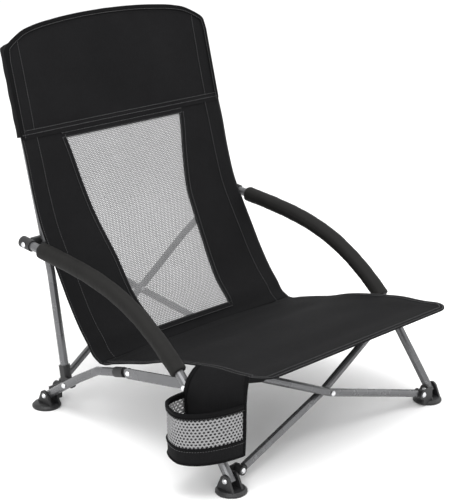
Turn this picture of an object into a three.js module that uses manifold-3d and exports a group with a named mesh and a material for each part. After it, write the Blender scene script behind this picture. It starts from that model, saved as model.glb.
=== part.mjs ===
// Folding camp chair, open for use. Millimetres, +Z up, the sitter faces -Y.
// x is negative on the sitter's right. The chair's two halves are mirror images.
import * as THREE from 'three';
import { mergeVertices } from 'three/addons/utils/BufferGeometryUtils.js';
import Module from 'manifold-3d';

const wasm = await Module();
wasm.setup();

// Overall sizes.
const FOOT_SPREAD = 469; // front foot to rear foot
const UPRIGHT_TOP = 632; // height of the upright tubes
const RAIL_X = 242; // half the distance between the two rear rails

// Tubes, flat bar and cloth.
const RAIL_D = 15;
const UPRIGHT_D = 15;
const LEG_D = 16;
const FRONT_CROSS_D = 14;
const REAR_CROSS_D = 13;
const WALL = 1;
const GRIP_WALL = 6.4;
const BAR_T = 3;
const BAR_DEPTH = 18;
const CLOTH_T = 3;
const MESH_T = 1.6;

// Feet and fasteners.
const FOOT_D = 52;
const FOOT_H = 9;
const PIVOT_Z = 23; // height of the leg and rail pivots in the feet
const CHEEK_T = 4;
const CHEEK_BASE = 19; // half the cheeks' length at the disc
const CHEEK_TOP = 10;
const SHANK_R = 2.5;
const HEAD_R = 5;
const HEAD_T = 2;

// Clearances.
const GAP = 0.3;
const PIVOT_GAP = 0.4; // beside a turning piece
const TILT_GAP = 1.8; // lets the rear cross tubes' top eyes tip against the sliders as it folds
const LAYER_GAP = 1; // between the rails and the uprights

// Sideways layers, outward from the middle.
const UPRIGHT_X = RAIL_X - RAIL_D / 2 - LAYER_GAP - UPRIGHT_D / 2;
const BAR_OUT = RAIL_X + RAIL_D / 2 - 0.2;
const BAR_IN = BAR_OUT - BAR_T;
const LEG_X = RAIL_X + RAIL_D / 2 + 0.5 + LEG_D / 2;
const SLING_HALF = RAIL_X - 1;
const FRONT_FOOT_X = LEG_X - 3;
const REAR_FOOT_X = RAIL_X + 3;
const REAR_CROSS_X = UPRIGHT_X - 20;
const FRONT_CROSS_X = LEG_X - 34;

// Side view. A place is a share of the foot spread and of the height above the pivots.
const place = (y, z) => ({
  y: y * FOOT_SPREAD,
  z: PIVOT_Z + z * (UPRIGHT_TOP - PIVOT_Z),
});
const FRONT_PIVOT = { y: 0, z: PIVOT_Z };
const REAR_PIVOT = { y: FOOT_SPREAD, z: PIVOT_Z };
const SHOE_PIVOT = place(0.8913, 0.0542);
const LINK_REAR = place(0.5288, 0.1724);
const LINK_FRONT = place(0.2047, 0.2118);
const ARM_PIVOT = place(1.0469, 0.463);
const UPRIGHT_FOOT = place(0.9318, 0.046);
const UPRIGHT_KNEE = place(1.0021, 0.3727);
const UPRIGHT_END = place(1.2115, 1);
const CREASE = place(0.6994, 0.161);
const REAR_CROSS_LOW_Z = PIVOT_Z + 1;
const REAR_CROSS_TOP_Z = place(0, 0.4516).z;
const FRONT_CROSS_LOW_Z = PIVOT_Z + 1;
const FRONT_CROSS_PIN_Z = place(0, 0.1067).z;
const FRONT_CROSS_TOP_Z = place(0, 0.2545).z;

// Planes of the crossed tubes, measured back from the front feet.
const FRONT_PAIR_STEP = FRONT_CROSS_D / 2 + GAP;
const REAR_PAIR_STEP = REAR_CROSS_D / 2 + GAP;
const FRONT_LOW_Y = 3;
const FRONT_PIN_Y = 23;
const FRONT_TOP_Y = 42;
const REAR_PAIR_Y = FOOT_SPREAD + 25;

// Sliding bracket.
const SLIDER_LOW = 28;
const SLIDER_LENGTH = 28;
const SLIDER_WALL = 2.7;
const EAR_T = 4;
const EYE_R = 8;

// Cup holder.
const CUP_FRONT_Y = -22;
const CUP_BACK_Y = 90;
const CUP_LOW_Z = 66;
const CUP_BAND_Z = 96;
const CUP_RIM_LOW_Z = 141;
const CUP_RIM_TOP_Z = 152;
const CUP_BACK_X = LEG_X + LEG_D / 2 + HEAD_T + 3.5;
const CUP_DEPTH = 66;

const steel = () => new THREE.MeshStandardMaterial({
  color: 0x8f9195, roughness: 0.35, metalness: 0.9,
});
const zinc = () => new THREE.MeshStandardMaterial({
  color: 0xc4c6c9, roughness: 0.3, metalness: 1,
});
const plastic = () => new THREE.MeshStandardMaterial({
  color: 0x1b1c1e, roughness: 0.55, metalness: 0,
});
const foam = () => new THREE.MeshStandardMaterial({
  color: 0x2b2c2e, roughness: 0.9, metalness: 0,
});
const cloth = () => new THREE.MeshStandardMaterial({
  color: 0x2a2b2e, roughness: 0.85, metalness: 0,
});
const netting = () => new THREE.MeshStandardMaterial({
  color: 0xb9bbbf, roughness: 0.8, metalness: 0,
});

const chair = new THREE.Group();
chair.name = 'folding_camp_chair';
chair.position.y = -FOOT_SPREAD / 2;

const add = (name, geometry, material) => {
  const mesh = new THREE.Mesh(geometry, material);
  mesh.name = name;
  chair.add(mesh);
};

// Boolean work on closed meshes.
const toSolid = (geometry) => {
  const bare = geometry.clone();
  bare.deleteAttribute('normal');
  bare.deleteAttribute('uv');
  const merged = mergeVertices(bare, 1e-4);
  return new wasm.Manifold(new wasm.Mesh({
    numProp: 3,
    vertProperties: new Float32Array(merged.attributes.position.array),
    triVerts: new Uint32Array(merged.index.array),
  }));
};
const toGeometry = (solid) => {
  const mesh = solid.getMesh();
  const geometry = new THREE.BufferGeometry();
  geometry.setAttribute('position', new THREE.BufferAttribute(mesh.vertProperties, 3));
  geometry.setIndex(new THREE.BufferAttribute(mesh.triVerts, 1));
  geometry.computeVertexNormals();
  return geometry;
};
const join = (...parts) => parts.map(toSolid).reduce((a, b) => a.add(b));
const cut = (solid, ...tools) => tools.map(toSolid).reduce((a, b) => a.subtract(b), solid);

const block = (x0, x1, y0, y1, z0, z1) => {
  const geometry = new THREE.BoxGeometry(Math.abs(x1 - x0), Math.abs(y1 - y0), z1 - z0);
  geometry.translate((x0 + x1) / 2, (y0 + y1) / 2, (z0 + z1) / 2);
  return geometry;
};
const rodX = (x0, x1, at, r, sides = 16) => {
  const geometry = new THREE.CylinderGeometry(r, r, Math.abs(x1 - x0), sides);
  geometry.rotateZ(Math.PI / 2);
  geometry.translate((x0 + x1) / 2, at.y, at.z);
  return geometry;
};
const rodY = (x, z, y0, y1, r, sides = 16) => {
  const geometry = new THREE.CylinderGeometry(r, r, Math.abs(y1 - y0), sides);
  geometry.translate(x, (y0 + y1) / 2, z);
  return geometry;
};
// A round bar between two points in space.
const bar = (from, to, r, sides = 12) => {
  const line = new THREE.Vector3().subVectors(to, from);
  const geometry = new THREE.CylinderGeometry(r, r, line.length(), sides);
  const turn = new THREE.Quaternion();
  turn.setFromUnitVectors(new THREE.Vector3(0, 1, 0), line.clone().normalize());
  geometry.applyQuaternion(turn);
  const middle = new THREE.Vector3().addVectors(from, to).multiplyScalar(0.5);
  geometry.translate(middle.x, middle.y, middle.z);
  return geometry;
};

// A hollow tube swept along a curve.
const ring = (outer, inner, sides) => {
  const shape = new THREE.Shape();
  const hole = new THREE.Path();
  for (let i = 0; i < sides; i += 1) {
    const a = (i / sides) * 2 * Math.PI;
    const step = i === 0 ? 'moveTo' : 'lineTo';
    shape[step](outer * Math.cos(a), outer * Math.sin(a));
    hole[step](inner * Math.cos(a), inner * Math.sin(a));
  }
  shape.closePath();
  hole.closePath();
  shape.holes.push(hole);
  return shape;
};
const sweep = (curve, outer, inner, steps, sides = 12) => {
  const options = { steps, bevelEnabled: false, extrudePath: curve };
  return new THREE.ExtrudeGeometry(ring(outer, inner, sides), options);
};
// A hollow tube through given points, mitred at each bend. Its bends lie across `across`.
const bent = (points, across, outer, inner, sides = 12) => {
  const positions = [];
  const index = [];
  points.forEach((p, i) => {
    const back = points[Math.max(0, i - 1)];
    const next = points[Math.min(points.length - 1, i + 1)];
    const into = new THREE.Vector3().subVectors(i ? p : next, i ? back : p).normalize();
    const away = new THREE.Vector3().subVectors(next, p);
    const out = away.length() > 0 ? away.normalize() : into;
    const along = new THREE.Vector3().addVectors(into, out).normalize();
    const rise = new THREE.Vector3().crossVectors(along, across).normalize();
    const flat = new THREE.Vector3().crossVectors(rise, along).normalize();
    const stretch = 1 / Math.max(0.7, along.dot(into));
    for (const r of [outer, inner]) {
      for (let k = 0; k < sides; k += 1) {
        const a = (k / sides) * 2 * Math.PI;
        const spot = p.clone().addScaledVector(flat, r * Math.cos(a));
        spot.addScaledVector(rise, r * Math.sin(a) * stretch);
        positions.push(spot.x, spot.y, spot.z);
      }
    }
  });
  const id = (i, layer, k) => (i * 2 + layer) * sides + (k % sides);
  const quad = (a, b, c, d) => index.push(a, c, b, a, d, c);
  const last = points.length - 1;
  for (let k = 0; k < sides; k += 1) {
    for (let i = 0; i < last; i += 1) {
      quad(id(i, 0, k), id(i + 1, 0, k), id(i + 1, 0, k + 1), id(i, 0, k + 1));
      quad(id(i, 1, k), id(i, 1, k + 1), id(i + 1, 1, k + 1), id(i + 1, 1, k));
    }
    quad(id(0, 0, k), id(0, 0, k + 1), id(0, 1, k + 1), id(0, 1, k));
    quad(id(last, 0, k), id(last, 1, k), id(last, 1, k + 1), id(last, 0, k + 1));
  }
  const geometry = new THREE.BufferGeometry();
  geometry.setAttribute('position', new THREE.Float32BufferAttribute(positions, 3));
  geometry.setIndex(index);
  geometry.computeVertexNormals();
  return geometry;
};
const ACROSS_X = new THREE.Vector3(1, 0, 0);
const ACROSS_Y = new THREE.Vector3(0, 1, 0);
const smooth = (points) => new THREE.CatmullRomCurve3(points, false, 'centripetal');
const sideways = (x) => (p) => new THREE.Vector3(x, p.y, p.z);

// A rivet: shank with a domed head at each end, turned about its own axis.
const rivet = (length) => {
  const half = length / 2;
  const profile = [
    new THREE.Vector2(0, -half - HEAD_T),
    new THREE.Vector2(HEAD_R * 0.7, -half - HEAD_T * 0.8),
    new THREE.Vector2(HEAD_R, -half),
    new THREE.Vector2(SHANK_R, -half),
    new THREE.Vector2(SHANK_R, half),
    new THREE.Vector2(HEAD_R, half),
    new THREE.Vector2(HEAD_R * 0.7, half + HEAD_T * 0.8),
    new THREE.Vector2(0, half + HEAD_T),
  ];
  return new THREE.LatheGeometry(profile, 12);
};
const rivetX = (x0, x1, at) => {
  const geometry = rivet(Math.abs(x1 - x0));
  geometry.rotateZ(Math.PI / 2);
  geometry.translate((x0 + x1) / 2, at.y, at.z);
  return geometry;
};
const rivetY = (x, z, y0, y1) => {
  const geometry = rivet(y1 - y0);
  geometry.translate(x, (y0 + y1) / 2, z);
  return geometry;
};
const holeX = (x0, x1, at) => rodX(x0, x1, at, SHANK_R + GAP, 12);
const holeY = (x, z, y0, y1) => rodY(x, z, y0, y1, SHANK_R + GAP, 12);
// Only the outer head of a rivet, where the joint is held open.
const headX = (s, x, at) => {
  const profile = [
    new THREE.Vector2(0, 0),
    new THREE.Vector2(HEAD_R, 0),
    new THREE.Vector2(HEAD_R * 0.7, HEAD_T * 0.8),
    new THREE.Vector2(0, HEAD_T),
  ];
  const geometry = new THREE.LatheGeometry(profile, 12);
  geometry.rotateZ(-s * Math.PI / 2);
  geometry.translate(x, at.y, at.z);
  return geometry;
};

const direction = (a, b) => {
  const length = Math.hypot(b.y - a.y, b.z - a.z);
  return { y: (b.y - a.y) / length, z: (b.z - a.z) / length };
};
const shift = (p, d, distance) => ({ y: p.y + d.y * distance, z: p.z + d.z * distance });

// Arm and front leg: one bent tube, with a foam grip over the arm.
const ARM_LINE = [
  [1.066, 0.4637], [0.9488, 0.454], [0.8337, 0.4442], [0.7143, 0.431], [0.6183, 0.4138],
  [0.5245, 0.39], [0.4606, 0.367], [0.4051, 0.3424], [0.3412, 0.3079], [0.2687, 0.2627],
  [0.2239, 0.2299], [0.1919, 0.1979], [0.1471, 0.1511], [0.0725, 0.0755],
].map(([y, z]) => place(y, z));
const legDown = direction(ARM_LINE[ARM_LINE.length - 1], FRONT_PIVOT);
const armLine = (s) => {
  const points = [...ARM_LINE, shift(FRONT_PIVOT, legDown, 6)];
  return smooth(points.map(sideways(s * LEG_X)));
};
const legTube = (s) => {
  const tube = toSolid(sweep(armLine(s), LEG_D / 2, LEG_D / 2 - WALL, 24));
  const out = s * (LEG_X + LEG_D);
  const inside = s * (LEG_X - LEG_D);
  return toGeometry(cut(tube, holeX(inside, out, LINK_FRONT), holeX(inside, out, FRONT_PIVOT)));
};
const gripLine = (s) => {
  const whole = armLine(s);
  const points = [];
  for (let i = 0; i <= 16; i += 1) {
    points.push(whole.getPointAt(0.075 + (0.685 - 0.075) * (i / 16)));
  }
  return smooth(points);
};
const grip = (s) => sweep(gripLine(s), LEG_D / 2 + GAP + GRIP_WALL, LEG_D / 2 + 2.5 * GAP, 16);
// Cap over the arm tube's rear end, open towards the sliding bracket.
const CAP_R = LEG_D / 2 + 2.4;
const armPlug = (s) => {
  const at = sideways(s * LEG_X);
  const end = ARM_LINE[0];
  const out = direction(ARM_LINE[1], end);
  const body = bar(at(shift(end, out, -22)), at(shift(end, out, 5)), CAP_R, 20);
  const bore = bar(at(shift(end, out, -30)), at(shift(end, out, GAP)), LEG_D / 2 + 2 * GAP, 20);
  const face = s * (LEG_X - LEG_D / 2);
  const trim = block(face - s * 20, face, end.y - 60, end.y + 40, end.z - 40, end.z + 40);
  return toGeometry(cut(join(body), bore, trim));
};

// Rear rail from the rear foot to the folding link, and the black sleeve on its front end.
const railBend = place(0.71, 0.138);
const railDown = direction(SHOE_PIVOT, REAR_PIVOT);
const railFront = direction(railBend, LINK_REAR);
const rail = (s) => {
  const points = [
    shift(LINK_REAR, railFront, -19),
    shift(railBend, railFront, 22),
    railBend,
    shift(SHOE_PIVOT, railDown, -40),
    shift(REAR_PIVOT, railDown, 6),
  ];
  const path = points.map(sideways(s * RAIL_X));
  const tube = toSolid(bent(path, ACROSS_X, RAIL_D / 2, RAIL_D / 2 - WALL));
  const out = s * (RAIL_X + RAIL_D);
  const inside = s * (RAIL_X - RAIL_D);
  return toGeometry(cut(tube, holeX(inside, out, SHOE_PIVOT), holeX(inside, out, REAR_PIVOT)));
};
const railSleeve = (s) => {
  const at = sideways(s * RAIL_X);
  const outer = RAIL_D / 2 + GAP + 1.2;
  const body = bar(at(shift(LINK_REAR, railFront, -38)), at(shift(LINK_REAR, railFront, -15)), outer, 16);
  const bore = bar(at(shift(LINK_REAR, railFront, -39)), at(shift(LINK_REAR, railFront, -18)), RAIL_D / 2 + GAP, 16);
  const inFace = s * (BAR_IN - GAP - BAR_T);
  const outFace = s * (BAR_IN - GAP);
  const tip = rodX(inFace, outFace, LINK_REAR, BAR_DEPTH / 2 - 0.5);
  const web = new THREE.BoxGeometry(BAR_T, 19, BAR_DEPTH - 4);
  web.rotateX(Math.atan2(-railFront.z, -railFront.y));
  const middle = shift(LINK_REAR, railFront, -9);
  web.translate((inFace + outFace) / 2, middle.y, middle.z);
  const solid = cut(join(body, tip, web), bore, holeX(inFace - s * 9, outFace + s, LINK_REAR));
  return toGeometry(solid);
};

// Flat link between the rail's end and the leg.
const linkBar = (s) => {
  const along = direction(LINK_REAR, LINK_FRONT);
  const length = Math.hypot(LINK_FRONT.y - LINK_REAR.y, LINK_FRONT.z - LINK_REAR.z);
  const plate = new THREE.BoxGeometry(BAR_T, length, BAR_DEPTH);
  plate.rotateX(Math.atan2(along.z, along.y));
  const middle = shift(LINK_REAR, along, length / 2);
  plate.translate(s * (BAR_IN + BAR_T / 2), middle.y, middle.z);
  const ends = [LINK_REAR, LINK_FRONT].map((p) => rodX(s * BAR_IN, s * BAR_OUT, p, BAR_DEPTH / 2));
  const holes = [LINK_REAR, LINK_FRONT].map((p) => holeX(s * (BAR_IN - 2), s * (BAR_OUT + 2), p));
  return toGeometry(cut(join(plate, ...ends), ...holes));
};

// Upright tube: straight below the knee, leaning back above it.
const up = direction(UPRIGHT_KNEE, UPRIGHT_END);
const low = direction(UPRIGHT_FOOT, UPRIGHT_KNEE);
const upright = (s) => {
  const points = [
    UPRIGHT_FOOT,
    shift(UPRIGHT_KNEE, low, -36),
    UPRIGHT_KNEE,
    UPRIGHT_END,
  ];
  return bent(points.map(sideways(s * UPRIGHT_X)), ACROSS_X, UPRIGHT_D / 2, UPRIGHT_D / 2 - WALL);
};
// Shoe that holds the upright's foot and hangs on the rail by a rivet.
const shoe = (s) => {
  const at = sideways(s * UPRIGHT_X);
  const outer = UPRIGHT_D / 2 + GAP + 2.4;
  const sleeve = bar(at(shift(UPRIGHT_FOOT, low, -5)), at(shift(UPRIGHT_FOOT, low, 32)), outer, 16);
  const bore = bar(at(shift(UPRIGHT_FOOT, low, -GAP)), at(shift(UPRIGHT_FOOT, low, 40)), UPRIGHT_D / 2 + GAP, 16);
  const face = s * (RAIL_X - RAIL_D / 2 - PIVOT_GAP);
  const inner = s * (RAIL_X - RAIL_D / 2 - PIVOT_GAP - CHEEK_T - 2);
  const boss = rodX(inner, face, SHOE_PIVOT, 9);
  const low0 = UPRIGHT_FOOT.z - 4;
  const web = block(inner, face, SHOE_PIVOT.y, UPRIGHT_FOOT.y, low0, SHOE_PIVOT.z + 8);
  const trim = block(face, face + s * 20, SHOE_PIVOT.y - 20, UPRIGHT_FOOT.y + 30, 0, 150);
  return toGeometry(cut(join(sleeve, boss, web), bore, trim, holeX(inner - s * 5, face + s * 5, SHOE_PIVOT)));
};

// Bracket that slides on the upright and takes the arm's end and a rear crossed tube.
const slider = (s, pairStep) => {
  const at = sideways(s * UPRIGHT_X);
  const from = at(shift(UPRIGHT_KNEE, up, SLIDER_LOW));
  const to = at(shift(UPRIGHT_KNEE, up, SLIDER_LOW + SLIDER_LENGTH));
  const outer = UPRIGHT_D / 2 + GAP + SLIDER_WALL;
  const sleeve = bar(from, to, outer, 16);
  const below = at(shift(UPRIGHT_KNEE, up, SLIDER_LOW - 15));
  const above = at(shift(UPRIGHT_KNEE, up, SLIDER_LOW + SLIDER_LENGTH + 25));
  const bore = bar(below, above, UPRIGHT_D / 2 + GAP, 16);
  const boss = rodX(s * (UPRIGHT_X + 4), s * (LEG_X - LEG_D / 2 - PIVOT_GAP), ARM_PIVOT, 8);
  const earY = REAR_PAIR_Y + pairStep + REAR_CROSS_D / 2 + PIVOT_GAP + TILT_GAP;
  const top = REAR_CROSS_TOP_Z;
  const inside = s * (UPRIGHT_X - 9);
  const arm = block(inside, s * (UPRIGHT_X + 9), ARM_PIVOT.y - 8, earY + EAR_T, top - 9, top + 4);
  const ear = block(s * REAR_CROSS_X, s * (UPRIGHT_X + 9), earY, earY + EAR_T, top - EYE_R, top + EYE_R);
  const eye = rodY(s * REAR_CROSS_X, top, earY, earY + EAR_T, EYE_R);
  return toGeometry(cut(join(sleeve, boss, arm, ear, eye), bore));
};

// Foot: a domed disc with cheeks for the leg or rail and an ear for the crossed tube.
const domedDisc = (x, y) => {
  const r = FOOT_D / 2;
  const profile = [
    new THREE.Vector2(0, 0),
    new THREE.Vector2(r - 1, 0),
    new THREE.Vector2(r, 1.5),
    new THREE.Vector2(r, 4),
    new THREE.Vector2(r * 0.86, FOOT_H - 1.5),
    new THREE.Vector2(r * 0.6, FOOT_H),
    new THREE.Vector2(0, FOOT_H),
  ];
  const disc = new THREE.LatheGeometry(profile, 28);
  disc.rotateX(Math.PI / 2);
  disc.translate(x, y, 0);
  return disc;
};
const cheek = (s, x0, x1, pivot) => {
  const shape = new THREE.Shape();
  shape.moveTo(-CHEEK_BASE, FOOT_H - 4);
  shape.lineTo(CHEEK_BASE, FOOT_H - 4);
  shape.lineTo(CHEEK_TOP, pivot.z + 2);
  shape.absarc(0, pivot.z, CHEEK_TOP, 0.2, Math.PI - 0.2);
  shape.lineTo(-CHEEK_TOP, pivot.z + 2);
  shape.closePath();
  const options = { depth: x1 - x0, bevelEnabled: false, curveSegments: 8 };
  const plate = new THREE.ExtrudeGeometry(shape, options);
  plate.rotateX(Math.PI / 2);
  plate.rotateZ(Math.PI / 2);
  plate.translate(s < 0 ? -x1 : x0, pivot.y, 0);
  return [plate];
};
const foot = (s, discX, discY, pivot, tubeX, tubeD, ear) => {
  const outer = tubeX + tubeD / 2 + PIVOT_GAP;
  const inner = tubeX - tubeD / 2 - PIVOT_GAP;
  const low0 = FOOT_H - 5;
  const plate = block(s * ear.x, s * (inner - 1), ear.y0, ear.y1, low0, ear.z);
  const eye = rodY(s * ear.x, ear.z, ear.y0, ear.y1, EYE_R + 1);
  const brace = block(s * ear.x, s * (inner - 1), ear.y0, ear.y1, ear.z - 1, ear.z + 8);
  const solid = join(
    domedDisc(s * discX, discY),
    ...cheek(s, outer, outer + CHEEK_T, pivot),
    ...cheek(s, inner - CHEEK_T, inner, pivot),
    plate,
    eye,
    brace,
  );
  const far = s * (outer + CHEEK_T + 5);
  const near = s * (inner - CHEEK_T - 5);
  const pin = holeY(s * ear.x, ear.z, ear.y0 - 5, ear.y1 + 5);
  return toGeometry(cut(solid, holeX(near, far, pivot), pin));
};

// Crossed tubes: each runs from a foot on its own side s to the far side.
const eyeEnd = (x, y, z, toward, r, bore, reach) => {
  const hub = rodY(x, z, y - r, y + r, EYE_R);
  const centre = new THREE.Vector3(x, y, z);
  const line = new THREE.Vector3().subVectors(toward, centre).normalize();
  const peg = bar(centre, centre.clone().addScaledVector(line, reach), bore);
  return toGeometry(cut(join(hub, peg), holeY(x, z, y - r - 5, y + r + 5)));
};
const frontPlane = (s) => (s < 0 ? FRONT_PAIR_STEP : -FRONT_PAIR_STEP);
const rearPlane = (s) => (s < 0 ? -REAR_PAIR_STEP : REAR_PAIR_STEP);
const frontPoints = (s) => {
  const step = frontPlane(s);
  return [
    new THREE.Vector3(s * FRONT_CROSS_X, FRONT_LOW_Y + step, FRONT_CROSS_LOW_Z),
    new THREE.Vector3(0, FRONT_PIN_Y + step, FRONT_CROSS_PIN_Z),
    new THREE.Vector3(-s * (UPRIGHT_X - 20), FRONT_TOP_Y + step, FRONT_CROSS_TOP_Z),
  ];
};
const frontCross = (s) => {
  const [a, b, c] = frontPoints(s);
  const start = a.clone().addScaledVector(b.clone().sub(a).normalize(), EYE_R + 2);
  const knee0 = b.clone().addScaledVector(a.clone().sub(b).normalize(), 26);
  const knee1 = b.clone().addScaledVector(c.clone().sub(b).normalize(), 26);
  const path = [start, knee0, b, knee1, c];
  const tube = toSolid(bent(path, ACROSS_Y, FRONT_CROSS_D / 2, FRONT_CROSS_D / 2 - WALL));
  return toGeometry(cut(tube, holeY(0, b.z, b.y - 30, b.y + 30)));
};
const rearPoints = (s) => {
  const y = REAR_PAIR_Y + rearPlane(s);
  return [
    new THREE.Vector3(s * REAR_CROSS_X, y, REAR_CROSS_LOW_Z),
    new THREE.Vector3(0, y, (REAR_CROSS_LOW_Z + REAR_CROSS_TOP_Z) / 2),
    new THREE.Vector3(-s * REAR_CROSS_X, y, REAR_CROSS_TOP_Z),
  ];
};
// The rear tubes rise a little above the straight line towards their top ends.
const rearCross = (s) => {
  const [a, b, c] = rearPoints(s);
  const start = a.clone().addScaledVector(b.clone().sub(a).normalize(), EYE_R + 2);
  const shoulder = b.clone().lerp(c, 0.55).add(new THREE.Vector3(0, 0, 6));
  const end = c.clone().addScaledVector(shoulder.clone().sub(c).normalize(), EYE_R + 2);
  const path = [start, b, shoulder, end];
  const tube = toSolid(bent(path, ACROSS_Y, REAR_CROSS_D / 2, REAR_CROSS_D / 2 - WALL));
  return toGeometry(cut(tube, holeY(0, b.z, b.y - 30, b.y + 30)));
};
const rearShoulder = (s) => {
  const [, b, c] = rearPoints(s);
  return b.clone().lerp(c, 0.55).add(new THREE.Vector3(0, 0, 6));
};

// A cloth panel that follows a line in the side view, at a width that may change along it.
const clothSheet = (line, half, thickness, columns) => {
  const rows = line.length;
  const positions = [];
  const index = [];
  for (const side of [0.5, -0.5]) {
    for (let i = 0; i < rows; i += 1) {
      const a = line[Math.max(0, i - 1)];
      const b = line[Math.min(rows - 1, i + 1)];
      const d = direction(a, b);
      for (let j = 0; j <= columns; j += 1) {
        const x = half(i) * (2 * (j / columns) - 1);
        positions.push(x, line[i].y - d.z * thickness * side, line[i].z + d.y * thickness * side);
      }
    }
  }
  const wide = columns + 1;
  const id = (layer, i, j) => layer * rows * wide + i * wide + j;
  const quad = (a, b, c, d) => index.push(a, b, c, a, c, d);
  for (let i = 0; i + 1 < rows; i += 1) {
    for (let j = 0; j < columns; j += 1) {
      quad(id(0, i, j), id(0, i, j + 1), id(0, i + 1, j + 1), id(0, i + 1, j));
      quad(id(1, i, j), id(1, i + 1, j), id(1, i + 1, j + 1), id(1, i, j + 1));
    }
    quad(id(0, i, 0), id(0, i + 1, 0), id(1, i + 1, 0), id(1, i, 0));
    quad(id(0, i, columns), id(1, i, columns), id(1, i + 1, columns), id(0, i + 1, columns));
  }
  for (let j = 0; j < columns; j += 1) {
    quad(id(0, 0, j), id(1, 0, j), id(1, 0, j + 1), id(0, 0, j + 1));
    const k = rows - 1;
    quad(id(0, k, j), id(0, k, j + 1), id(1, k, j + 1), id(1, k, j));
  }
  const geometry = new THREE.BufferGeometry();
  geometry.setAttribute('position', new THREE.Float32BufferAttribute(positions, 3));
  geometry.setIndex(index);
  geometry.computeVertexNormals();
  return geometry;
};
const SEAT_LINE = [
  [0.676, 0.1608], [0.629, 0.1733], [0.55, 0.1905], [0.4733, 0.2069], [0.3667, 0.2348],
  [0.1919, 0.2644], [0.1215, 0.2742], [0, 0.2792], [-0.0426, 0.2841], [-0.1, 0.2862],
  [-0.1173, 0.2866],
].map(([y, z]) => place(y, z));
const seatPanel = () => {
  const line = [shift(CREASE, direction(CREASE, SEAT_LINE[0]), GAP), ...SEAT_LINE];
  const half = (i) => {
    if (i < line.length - 2) {
      return SLING_HALF;
    }
    return i === line.length - 2 ? SLING_HALF - 3 : SLING_HALF - 16;
  };
  return clothSheet(line, half, CLOTH_T, 4);
};

// Back, from the crease up to the seam under the head panel.
const headLow = 240;
const sheetOut = UPRIGHT_D / 2 + GAP + 2;
const front = { y: -up.z, z: up.y };
const headPoint = (along, out) => shift(shift(UPRIGHT_KNEE, up, along), front, out);
const BACK_LINE = [
  [0.717, 0.163], [0.7375, 0.1757], [0.7655, 0.2036], [0.7996, 0.234], [0.8593, 0.3005],
  [0.9147, 0.3744], [0.9712, 0.4499], [1.0107, 0.5057], [1.0522, 0.5993], [1.0864, 0.7011],
].map(([y, z]) => place(y, z));
const backSheet = (thickness) => {
  const seam = headPoint(headLow - GAP, sheetOut);
  const first = shift(CREASE, direction(CREASE, BACK_LINE[0]), GAP);
  return clothSheet([first, ...BACK_LINE, seam], () => SLING_HALF, thickness, 4);
};
const windowPrism = (grow) => {
  const topZ = headPoint(headLow, sheetOut).z - 9 + grow;
  const lowZ = CREASE.z + 11 - grow;
  const top = SLING_HALF * 0.589 + grow;
  const base = SLING_HALF * 0.39 + grow;
  const waist = (top + base) / 2 - 7;
  const shape = new THREE.Shape();
  shape.moveTo(-base, lowZ);
  shape.lineTo(base, lowZ);
  shape.quadraticCurveTo(waist, (lowZ + topZ) / 2, top, topZ);
  shape.lineTo(-top, topZ);
  shape.quadraticCurveTo(-waist, (lowZ + topZ) / 2, -base, lowZ);
  const options = { depth: 2 * FOOT_SPREAD, bevelEnabled: false, curveSegments: 8 };
  const prism = new THREE.ExtrudeGeometry(shape, options);
  prism.rotateX(Math.PI / 2);
  prism.translate(0, 2 * FOOT_SPREAD, 0);
  return prism;
};
const backPanel = () => toGeometry(cut(toSolid(backSheet(CLOTH_T)), windowPrism(GAP)));
const meshPanel = () => {
  return toGeometry(toSolid(backSheet(MESH_T)).intersect(toSolid(windowPrism(0))));
};

// Head panel: a padded sheet with a closed sleeve over each upright's top.
const headPanel = () => {
  const uprightEnd = Math.hypot(UPRIGHT_END.y - UPRIGHT_KNEE.y, UPRIGHT_END.z - UPRIGHT_KNEE.z);
  const shape = new THREE.Shape();
  const half = SLING_HALF;
  const rise = uprightEnd - 4;
  shape.moveTo(-half, headLow);
  shape.lineTo(half, headLow);
  shape.lineTo(half, rise);
  shape.quadraticCurveTo(half - 4, rise + 14, half * 0.8, rise + 32);
  shape.quadraticCurveTo(half * 0.45, rise + 46, 0, rise + 48);
  shape.quadraticCurveTo(-half * 0.45, rise + 46, -half * 0.8, rise + 32);
  shape.quadraticCurveTo(-half + 4, rise + 14, -half, rise);
  shape.closePath();
  const options = { depth: CLOTH_T, bevelEnabled: false, curveSegments: 5 };
  const sheet = new THREE.ExtrudeGeometry(shape, options);
  sheet.translate(0, 0, sheetOut - CLOTH_T / 2);
  const sleeves = [];
  const bores = [];
  for (const s of [-1, 1]) {
    const tall = uprightEnd + 3 - headLow;
    const sleeve = new THREE.CylinderGeometry(UPRIGHT_D / 2 + 2.2, UPRIGHT_D / 2 + 2.2, tall, 20);
    sleeve.scale(1.42, 1, 1);
    sleeve.translate(s * UPRIGHT_X, headLow + tall / 2, 0);
    sleeves.push(sleeve);
    const deep = uprightEnd + 1 - headLow + 10;
    const bore = new THREE.CylinderGeometry(UPRIGHT_D / 2 + 0.6, UPRIGHT_D / 2 + 0.6, deep, 20);
    bore.scale(1.5, 1, 1);
    bore.translate(s * UPRIGHT_X, headLow - 10 + deep / 2, 0);
    bores.push(bore);
  }
  const geometry = toGeometry(cut(join(sheet, ...sleeves), ...bores));
  geometry.rotateX(Math.atan2(up.z, up.y));
  geometry.translate(0, UPRIGHT_KNEE.y, UPRIGHT_KNEE.z);
  return geometry;
};

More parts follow.
